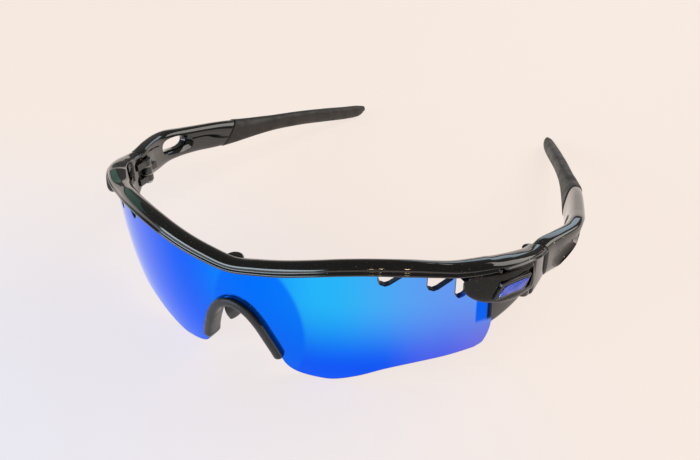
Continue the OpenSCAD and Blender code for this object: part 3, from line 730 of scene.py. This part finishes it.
def lens_outline():
    """Half of the lens outline seen from the front, from the middle of its top to the nose."""
    wide = LENS_R - lens_drop(LENS_TOP)

    def crown(x):
        h = math.degrees(math.asin(x / wide))
        behind = math.degrees(math.asin(sind(h) * LENS_R / (LENS_R - LENS_T)))
        return min(groove_z(h), groove_z(behind)) - LENS_GAP

    across = steps(0, wide * sind(LENS_END_H + 1.5), 100)
    top = [(x, crown(x)) for x in across if not any(v[0] - 0.3 < x < v[2] + 0.9 for v in VENTS)]
    for left, deep, right, low in VENTS:
        close = crown(right + 0.2) if right < VENTS[-1][2] else low + 3
        top += [(left, crown(left)), (left, low + 1.6), (left + 0.4, low + 0.5), (deep, low),
                (deep + 0.8, low + 0.3), (right, low + 2.4), (right + 0.2, close)]
    top.sort(key=lambda p: p[0])
    corner = [(curve(LENS_CORNER, z, 1), z) for z in steps(16, 8.2, 26)]
    foot = [(x, curve(LENS_FOOT, x, 1)) for x in steps(LENS_FOOT[-1][0], FOOT_TURN_X, 80)]
    turn = Vector(foot[-1]), Vector(FOOT_TURN_CORNER), Vector(FOOT_TURN_END)
    foot += [bezier(*turn, t) for t in steps(0.08, 1, 12)]
    nose = [(curve(NOTCH, k, 1), curve(NOTCH, k, 2)) for k in steps(NOTCH_END, 0, 50)]
    return top + corner + foot + nose


def apart(p, q):
    return (Vector(p) - Vector(q)).length


def clean(points):
    """The points without those that all but coincide with the one before."""
    out = []
    for p in points:
        if not out or apart(p, out[-1]) > LEAST_EDGE:
            out.append(p)
    return out


def lens():
    half = clean(lens_outline())
    outline = clean(half + [(-x, z) for x, z in half[::-1]])
    if apart(outline[0], outline[-1]) < LEAST_EDGE:
        outline.pop()

    # Both faces, meshed inside the bevel
    inner = inset(outline, LENS_BEVEL)
    count = len(inner)
    grid = [Vector((x, z)) for x in steps(-59, 59, 118) for z in steps(0.5, 37.5, 37)]
    result = delaunay_2d_cdt([Vector(p) for p in inner] + grid, [], [list(range(count))], 1, 1e-4)
    flat, tris, origin = result[0], result[2], result[3]
    place = {o: new for new, old in enumerate(origin) for o in old if o < count}
    used = sorted({i for t in tris for i in t} | set(place.values()))
    number = {v: i for i, v in enumerate(used)}
    n = len(used)
    verts = [beside_lens(flat[v], 0) for v in used] + [beside_lens(flat[v], -LENS_T) for v in used]
    front = [tuple(number[i] for i in t) for t in tris]
    back = [tuple(number[i] + n for i in t[::-1]) for t in tris]

    # Rounded edge between them
    rows = [[number[place[i]] for i in range(count)]]
    for base, way, angles in ((0, -1, steps(0, 90, 3)[1:]), (-LENS_T, 1, steps(90, 0, 3)[:-1])):
        for a in angles:
            rows.append(range(len(verts), len(verts) + count))
            ring = inset(outline, LENS_BEVEL * (1 - sind(a)))
            verts += [beside_lens(p, base + way * LENS_BEVEL * (1 - cosd(a))) for p in ring]
    rows.append([i + n for i in rows[0]])
    edge = [(r[i], r[(i + 1) % count], s[(i + 1) % count], s[i])
            for r, s in zip(rows, rows[1:]) for i in range(count)]
    obj = piece("lens", (verts, front + back + edge), "front", "lens_mirror", MIRROR, "shield_lens", crease=14)
    second_material(obj, SMOKE, lambda i, poly: i >= len(front))
    return obj


# Nose bridge and pads

def notch_at(k):
    return Vector((math.copysign(curve(NOTCH, abs(k), 1), k), curve(NOTCH, abs(k), 2)))


def notch_normal(k):
    d = notch_at(min(k + 0.05, NOTCH_END)) - notch_at(max(k - 0.05, -NOTCH_END))
    return Vector((-d.y, d.x)).normalized()


def bridge():
    """Arch round the nose notch, grooved for the lens. Its upper edge is polished like the frame."""
    up, low, out, gap, back = BRIDGE_UP, BRIDGE_LOW, BRIDGE_PROUD, LENS_GAP, -LENS_T - LENS_GAP
    section = [(up, gap), (up, out * 0.45), (up * 0.75, out * 0.8), (0, out), (-low * 0.75, out * 0.85),
               (-low, out * 0.3), (-low, back - 0.5), (-low * 0.75, back - 1.3), (0, back - 1.6),
               (up * 0.7, back - 1.2), (up * 0.8, back), (-gap, back), (-gap, gap)]
    ring = rounded(section, [0.2] + [SOFT] * 9 + [0.2, 0.1, 0.1])
    mid = Vector((-0.7, -0.4))
    rings = []
    for k in steps(NOTCH_END, -NOTCH_END, 200):
        m, c = notch_normal(k), notch_at(k)
        t = min(1.0, (NOTCH_END - abs(k)) / BRIDGE_TIP)
        size = 0.35 + 0.65 * math.sqrt(max(0.0, 1 - (1 - t) ** 2))
        points = [mid + (Vector(p) - mid) * size for p in ring]
        rings.append([beside_lens(c + p.x * m, p.y) for p in points])
    obj = piece("bridge", loft(rings), "front", "nose_grey", SATIN, "nose_bridge")
    polished, skin = 13, len(ring) * (len(rings) - 1)
    second_material(obj, BLACK, lambda i, poly: i % len(ring) < polished and i < skin)
    return obj


def nose_pad(side, name):
    """Soft tongue along one leg of the bridge, standing back from it."""
    rings = []
    for w in steps(0, 1, 48):
        k = PAD_TOP + PAD_RUN * w
        e = max(math.sqrt(max(1 - (2 * w - 1) ** 4, 0)), 0.1)
        m = notch_normal(k)
        c = notch_at(k) - 0.4 * m
        ring = []
        for a in steps(0, 352.5, 47):
            u, v = curl(cosd(a), 0.8), curl(sind(a), 0.8)
            x, y, z = beside_lens(c + PAD_HALF_T * e * u * m, -(LENS_T + LENS_GAP + 1.2))
            deep = PAD_SET_BACK * w + (PAD_DEPTH - PAD_SET_BACK * w) * e * (1 - v) / 2
            ring.append((x - PAD_LEAN * deep, y + deep, z))
        rings.append(ring)
    part = on_side(loft(rings), side)
    return piece("nose_cushion_" + name, part, "front", "pad_rubber", PAD, "nose_pad_" + name)


# Jaws, latch and inlays

JAW_CUTS = [0.15] + [SOFT] * 6 + [0.3, 0.15]


def jaw_ring(rows, h):
    """Section of a jaw, which ends in a round lobe over its pin."""
    flat = min(h, rows[-1][0])
    low, high = curve(rows, flat, 1), lip_z(h) - JAW_GAP - curve(rows, flat, 2)
    s = math.radians(h - PIN_H) * (BLOCK_R + PIN_N)
    lobe = math.sqrt(max(LOBE_R ** 2 - s * s, 0))
    inner = JAW_LENS_GAP if h < JAW_STEP_H else CORE_N + JAW_GAP
    outer = max(CORE_N + JAW_GAP + curve(rows, flat, 3) * JAW_T, inner + 0.8)
    if s > -LOBE_R:
        inner = min(inner, PIN_N - lobe)
    if s > 0:
        outer = PIN_N + 0.2 + lobe * (outer - PIN_N - 0.2) / LOBE_R
    lean = min(1.0, (outer - inner) / 3)
    face = [(outer - n * lean, low + share * (high - low)) for n, share in JAW_FACE]
    return face_ring(h, [(inner, low)] + face + [(inner, high)], JAW_CUTS, 6)


def jaw_blank(rows, stations):
    end = math.degrees(LOBE_R / (BLOCK_R + PIN_N))
    rings = [jaw_ring(rows, h) for h in stations]
    return loft(rings + [jaw_ring(rows, PIN_H + end * sind(t)) for t in steps(6, 88, 14)])


def plate(long, grow, tail, thick, edge, corner=0.5):
    """Leaning plate in its own frame: X back along the jaw, Y up, Z outwards."""
    l, h = long / 2 + grow, SLIDER_TALL / 2 + grow
    points = [(-l - 1, -h), (l + tail - 1, -h), (l + tail + 1, h), (-l + 1, h)]
    return slab(rounded(points, [corner] * 4, 6), 0, thick, edge)


def inlay_well(long, deep):
    return plate(long, INLAY_SEAT - INLAY_RIM, 0, deep, 0.02, 0.3)


def inlay_plate(long, thick):
    return plate(long, -INLAY_RIM, 0, thick, 0.16, 0.35)


def in_pocket(part, n, h=SLIDER_H):
    """The part moved from its own frame to distance n out of the face at heading h."""
    out = n - lens_drop(SLIDER_Z)
    x, y = spine(h)
    s, c = sind(h), cosd(h)
    rows = (c, 0, s, x + out * s), (s, 0, -c, y - out * c), (0, 1, 0, SLIDER_Z), (0, 0, 0, 1)
    return moved(part, Matrix(rows))


def jaws():
    blank = jaw_blank(JAW, steps(JAW[0][0], JAW_STEP_H - 0.3, 60) + steps(JAW_STEP_H - 0.1, PIN_H, 100))
    pocket = in_pocket(plate(SLIDER_L, SLIDER_GAP, LATCH_TRAVEL + SLIDER_GAP, 4, 0.05, 0.4), SLIDER_N)
    gap = POST_R + SLIDER_GAP
    start, end, high = POST_BACK - gap, POST_BACK + gap + LATCH_TRAVEL, 8
    slot = slab([(start, 0), (end, 0), (end, high), (start, high)], 0, 2 * gap, 0.02)
    left = cut_by(blank, pocket, in_pocket(slot, POST_N - gap))
    piece("latch_jaw", left, "left_jaw", "frame_black", JAW_BLACK, "left_jaw")

    sunk = SLIDER_FACE_N - INLAY_SUNK
    button = in_pocket(plate(SLIDER_L, 0, 0, SLIDER_T, 0.28), SLIDER_N + SLIDER_GAP)
    button = cut_by(button, in_pocket(inlay_well(SLIDER_L, 1), sunk))
    post = slab(circle(POST.x, POST.y, POST_R, 24), SLIDER_Z + SLIDER_TALL / 2 - 0.5, POST_TOP, 0.12)
    piece("latch_button", gather([button, post]), "latch", "frame_black", BLACK, "latch_slider")
    inlay = in_pocket(inlay_plate(SLIDER_L, INLAY_T), sunk)
    piece("button_inlay", inlay, "latch", "inlay_blue", INSERT, "latch_inlay")

    cover = jaw_blank(COVER, steps(COVER[0][0], PIN_H, 100))
    cover = cut_by(cover, in_pocket(inlay_well(COVER_INLAY_L, 4), COVER_INLAY_N, COVER_INLAY_H))
    piece("fixed_cover", mirrored(cover), "front", "frame_black", JAW_BLACK, "right_jaw")
    inlay = in_pocket(inlay_plate(COVER_INLAY_L, COVER_INLAY_T - COVER_SUNK), COVER_INLAY_N, COVER_INLAY_H)
    piece("cover_inlay", mirrored(inlay), "front", "inlay_blue", INSERT, "right_inlay")


# Temples and ear socks

def arm_ring(d, inset_by, sides=96):
    """Section of a temple at distance d behind the hinge."""
    offset, thick, top, low, lean, round_by = (curve(ARM, d, c) for c in range(1, 7))
    x, y, z, skew = HINGE[0] + offset, HINGE[1] + d, (top + low) / 2, curve(SLANT, d, 1)
    hx, hz = thick / 2 - inset_by, (top - low) / 2 - inset_by
    ring = []
    for i in range(sides):
        a = 360 * (i + 0.5) / sides
        u, v = curl(cosd(a), round_by), curl(sind(a), round_by)
        ring.append((x + lean * v / 2 - hx * u, y + skew * v, z + hz * v))
    return ring


def knuckle():
    """Knuckle on the hinge axis, with a web back to the arm."""
    x, y = HINGE
    web = [(x + WEB_W / 2, y + WEB_L), (x - WEB_W / 2, y + WEB_L)]
    return slab(arc(x, y, KNUCKLE_R, 126.9, 413.1, 40) + web, KNUCKLE_LOW, KNUCKLE_HIGH, 0.2)


def scoop_axis(d):
    """X and height of the hollow's axis at distance d behind the hinge."""
    return HINGE[0] + curve(ARM, d, 1) + curve(ARM, d, 2) / 2 + SCOOP_OUT, curve(ARM, d, 4) + SCOOP_UP


def scoop():
    """Cutter for the long hollow low on the outer side of a temple, in front of its window."""
    rings = []
    for t in steps(2, 178, 44):
        d, r = SCOOP_MID - SCOOP_HALF * cosd(t), sind(t)
        x, z = scoop_axis(d)
        rings.append([(x + SCOOP_RX * r * cosd(a), HINGE[1] + d, z + SCOOP_RZ * r * sind(a))
                      for a in steps(0, 352.5, 47)])
    return loft(rings)


def in_scoop(p):
    """Whether a point of a temple, in metres, lies on the wall of its hollow."""
    d = p.y / MM + MID_Y - HINGE[1]
    along = (d - SCOOP_MID) / SCOOP_HALF
    if abs(along) > 0.994:
        return False
    r = math.sqrt(1 - along ** 2)
    x, z = scoop_axis(d)
    u, v = (abs(p.x) / MM - x) / (SCOOP_RX * r), (p.z / MM - z) / (SCOOP_RZ * r)
    return abs(math.hypot(u, v) - 1) < 0.05


def window():
    """Cutter for the oval window of a temple, which flares towards both sides."""
    place = Matrix.Translation((HINGE[0] + WINDOW_X, HINGE[1] + WINDOW_BACK, WINDOW_Z))
    place = place @ Matrix.Rotation(math.radians(WINDOW_TILT), 4, "X")
    oval = [(curl(cosd(a), WINDOW_ROUND), curl(sind(a), WINDOW_ROUND)) for a in steps(3.75, 356.25, 47)]
    rings = []
    for x in steps(-6, 6, 60):
        flare = 1.1 * max(0.0, (abs(x) - 0.6) / 2) ** 2
        l, h = WINDOW_HALF_L + flare, WINDOW_HALF_TALL + flare
        rings.append([tuple(place @ Vector((x, l * u, h * v))) for u, v in oval])
    return loft(rings)


def temple():
    front, turn, edge = ARM[0][0], 0.35, 0.3
    full = SHOULDER - edge
    rings = [arm_ring(front + turn * (1 - cosd(t)), turn * (1 - sind(t))) for t in steps(0, 90, 5)]
    rings += [arm_ring(d, 0) for d in steps(front + turn + 0.2, full, 190)]
    rings += [arm_ring(full + edge * sind(t), edge * (1 - cosd(t))) for t in steps(20, 90, 4)]
    rings += [arm_ring(d, TONGUE_IN) for d in steps(SHOULDER, TONGUE_END, 6)]
    low, high = knuckle_room(HINGE_LOW - 4, KNUCKLE_LOW), knuckle_room(KNUCKLE_HIGH, HINGE_HIGH + PART_GAP)
    return gather([cut_by(loft(rings), window(), scoop(), low, high), knuckle()])


def ear_sock(side, name):
    """Sock over the tongue of a temple, with a rounded mouth and tip."""
    mouth, body, taper, tip = SHOULDER + 0.1, SHOULDER + 0.9, 117, ARM[-1][0]
    rings = [arm_ring(SHOULDER + 2, SOCK_BORE), arm_ring(mouth, SOCK_BORE)]
    rings += [arm_ring(mouth + SOCK_LIP * (1 - cosd(t)), SOCK_LIP * (1 - sind(t)) - SOCK_PROUD)
              for t in steps(0, 90, 6)]
    rings += [arm_ring(d, -SOCK_PROUD) for d in steps(body, taper, 200) + steps(taper + 0.2, tip, 40)]
    last = rings[-1]
    rings += [[(x, y + 0.35 * sind(t), z) for x, y, z in shrunk(last, 0.75 * (1 - cosd(t)))]
              for t in steps(15, 90, 6)]
    part = on_side(loft(rings), side)
    return piece("sock_" + name, part, name + "_temple", "sock_rubber", SOCK, name + "_ear_sock")


brow()
lens()
bridge()
arm = temple()
for side, name in ((1, "left"), (-1, "right")):
    nose_pad(side, name)
    side_arm = piece("arm_" + name, on_side(arm, side), name + "_temple", "frame_black", BLACK, name + "_temple",
                     crease=38)
    # Faces on the wall of the hollow take the duller jaw black: painted shade that darkens the hollow.
    second_material(side_arm, JAW_BLACK, lambda i, poly: in_scoop(poly.center))
    ear_sock(side, name)
jaws()

for name in ("left", "right"):
    for item, material in (("jaw_pin", STEEL), ("hinge_pin", STEEL), ("hinge_washers", NYLON)):
        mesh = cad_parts[f"{name}_{item}"].data
        mesh.materials.clear()
        mesh.materials.append(material)


# Floor, light and camera, in metres

FLOOR_R, COVE_R = 2.6, 0.35
SHADE_PATCH_MOVE, SHADE_PATCH_REACH = (0.1, 0.25, 0), (0.08, 0.3)  # painted bluish shade in front of the glasses, which fades into the warm floor
SHADE_BLUE, WARM = (0.81, 0.81, 0.9), (0.93, 0.82, 0.75)
FLOOR_GLOW, GLOW_SHARE = 1.15, 0.76  # only in what the camera, mirrors and glass see

# Lamps: place, aim, size, power, colour
LAMPS = {"back_window": ((-0.13, 1.15, 0.42), (0, 0, 0), (0.4, 0.3), 0.55, (0.66, 0.86, 1.0)),
         "ceiling": ((0.75, 0.7, 0.8), (0, 0, 0), (1.0, 1.0), 7.5, (1.0, 0.94, 0.88)),
         "front_window": ((-0.6, -1.15, 0.44), (0, -0.05, 0.02), (1.5, 0.42), 12, (0.72, 0.89, 1.0)),
         "left_screen": ((-1.2, 0.3, 0.5), (0, 0, 0.02), (1.2, 0.5), 0.7, (0.22, 0.8, 0.62))}
# Small warm lamps: place, power
SPOTS = [((0.62, -0.9, 0.62), 0.18), ((0.52, -0.95, 0.5), 0.18), ((0.8, -0.75, 0.55), 0.18), ((1.0, 0.62, 0.1), 0.07)]
SPOT_SIZE, SPOT_COLOUR = (0.035, 0.035), (1.0, 0.7, 0.38)


def floor_mesh():
    """Disc that turns up into a low wall all round."""
    cove = [(FLOOR_R + COVE_R * sind(t), COVE_R * (1 - cosd(t))) for t in steps(10, 90, 8)]
    verts, faces = loft([[(r * cosd(a), r * sind(a), z) for a in steps(0, 356.25, 95)]
                         for r, z in [(0.5, 0), (FLOOR_R, 0)] + cove])
    mesh = bpy.data.meshes.new("studio_floor")
    mesh.from_pydata(verts, [], faces[:-1])
    shade(mesh)
    return mesh


def pale_floor():
    material, tree, shader = finish("pale_floor", Roughness=0.45, IOR=1.3)
    # A bluish, slightly darker patch in front of the glasses fades into the warm floor: painted shade.
    colour = mixed(tree, ranged(tree, reach(tree, own_point(tree), SHADE_PATCH_MOVE), *SHADE_PATCH_REACH), SHADE_BLUE, WARM)
    tree.links.new(colour, shader.inputs["Base Color"])
    glow, blend, rays = (tree.nodes.new("ShaderNode" + kind) for kind in ("Emission", "MixShader", "LightPath"))
    tree.links.new(colour, glow.inputs["Color"])
    glow.inputs["Strength"].default_value = FLOOR_GLOW
    seen = rays.outputs["Is Camera Ray"]
    for other in ("Is Glossy Ray", "Is Transmission Ray"):
        seen = maths(tree, "MAXIMUM", seen, rays.outputs[other])
    tree.links.new(maths(tree, "MULTIPLY", seen, GLOW_SHARE), blend.inputs["Fac"])
    tree.links.new(shader.outputs[0], blend.inputs[1])
    tree.links.new(glow.outputs[0], blend.inputs[2])
    tree.links.new(blend.outputs[0], tree.nodes["Material Output"].inputs["Surface"])
    return material


def studio_floor():
    obj = bpy.data.objects.new("studio_floor", floor_mesh())
    obj.location.z = -0.0002
    scene.collection.objects.link(obj)
    obj.data.materials.append(pale_floor())


def softbox(name, place, target, size, power, colour):
    light = bpy.data.lights.new(name, "AREA")
    light.shape, light.size, light.size_y = "RECTANGLE", size[0], size[1]
    light.energy, light.color = power, colour
    obj = bpy.data.objects.new(name, light)
    obj.location = place
    obj.rotation_euler = (Vector(target) - Vector(place)).to_track_quat("-Z", "Y").to_euler()
    scene.collection.objects.link(obj)


def world_light():
    world = bpy.data.worlds.new("studio_air")
    world.use_nodes = True
    background = world.node_tree.nodes["Background"]
    background.inputs["Color"].default_value = (1.0, 0.96, 0.93, 1)
    background.inputs["Strength"].default_value = 0.15
    scene.world = world


def camera():
    """Camera fitted to the photo, by its angles, its offset from a point over the lens and its focal length."""
    az, el, roll = 27.209, 32.723, -1.768
    aim, shift_right, shift_up, distance = Vector((0, 50 - MID_Y, 15)), 7.21, -0.267, 221.939
    sensor, focal_px, width_px = 36, 716.716, 700
    back = Vector((sind(az) * cosd(el), -cosd(az) * cosd(el), sind(el)))
    flat = Vector((cosd(az), sind(az), 0))
    rise = back.cross(flat)
    right = cosd(roll) * flat + sind(roll) * rise
    up = -sind(roll) * flat + cosd(roll) * rise
    eye = aim + shift_right * right + shift_up * up + distance * back
    data = bpy.data.cameras.new("camera")
    data.sensor_fit, data.sensor_width, data.lens = "HORIZONTAL", sensor, sensor * focal_px / width_px
    data.clip_start = 0.005
    obj = bpy.data.objects.new("camera", data)
    turn = Matrix((right, up, back)).transposed().to_4x4()
    obj.matrix_world = Matrix.Translation(eye * MM) @ turn
    scene.collection.objects.link(obj)
    scene.camera = obj


studio_floor()
for name, lamp in LAMPS.items():
    softbox(name, *lamp)
for i, (place, power) in enumerate(SPOTS):
    softbox(f"spot_{i}", place, (0, 0, 0), SPOT_SIZE, power, SPOT_COLOUR)
world_light()
camera()
scene.view_settings.view_transform = "Standard"
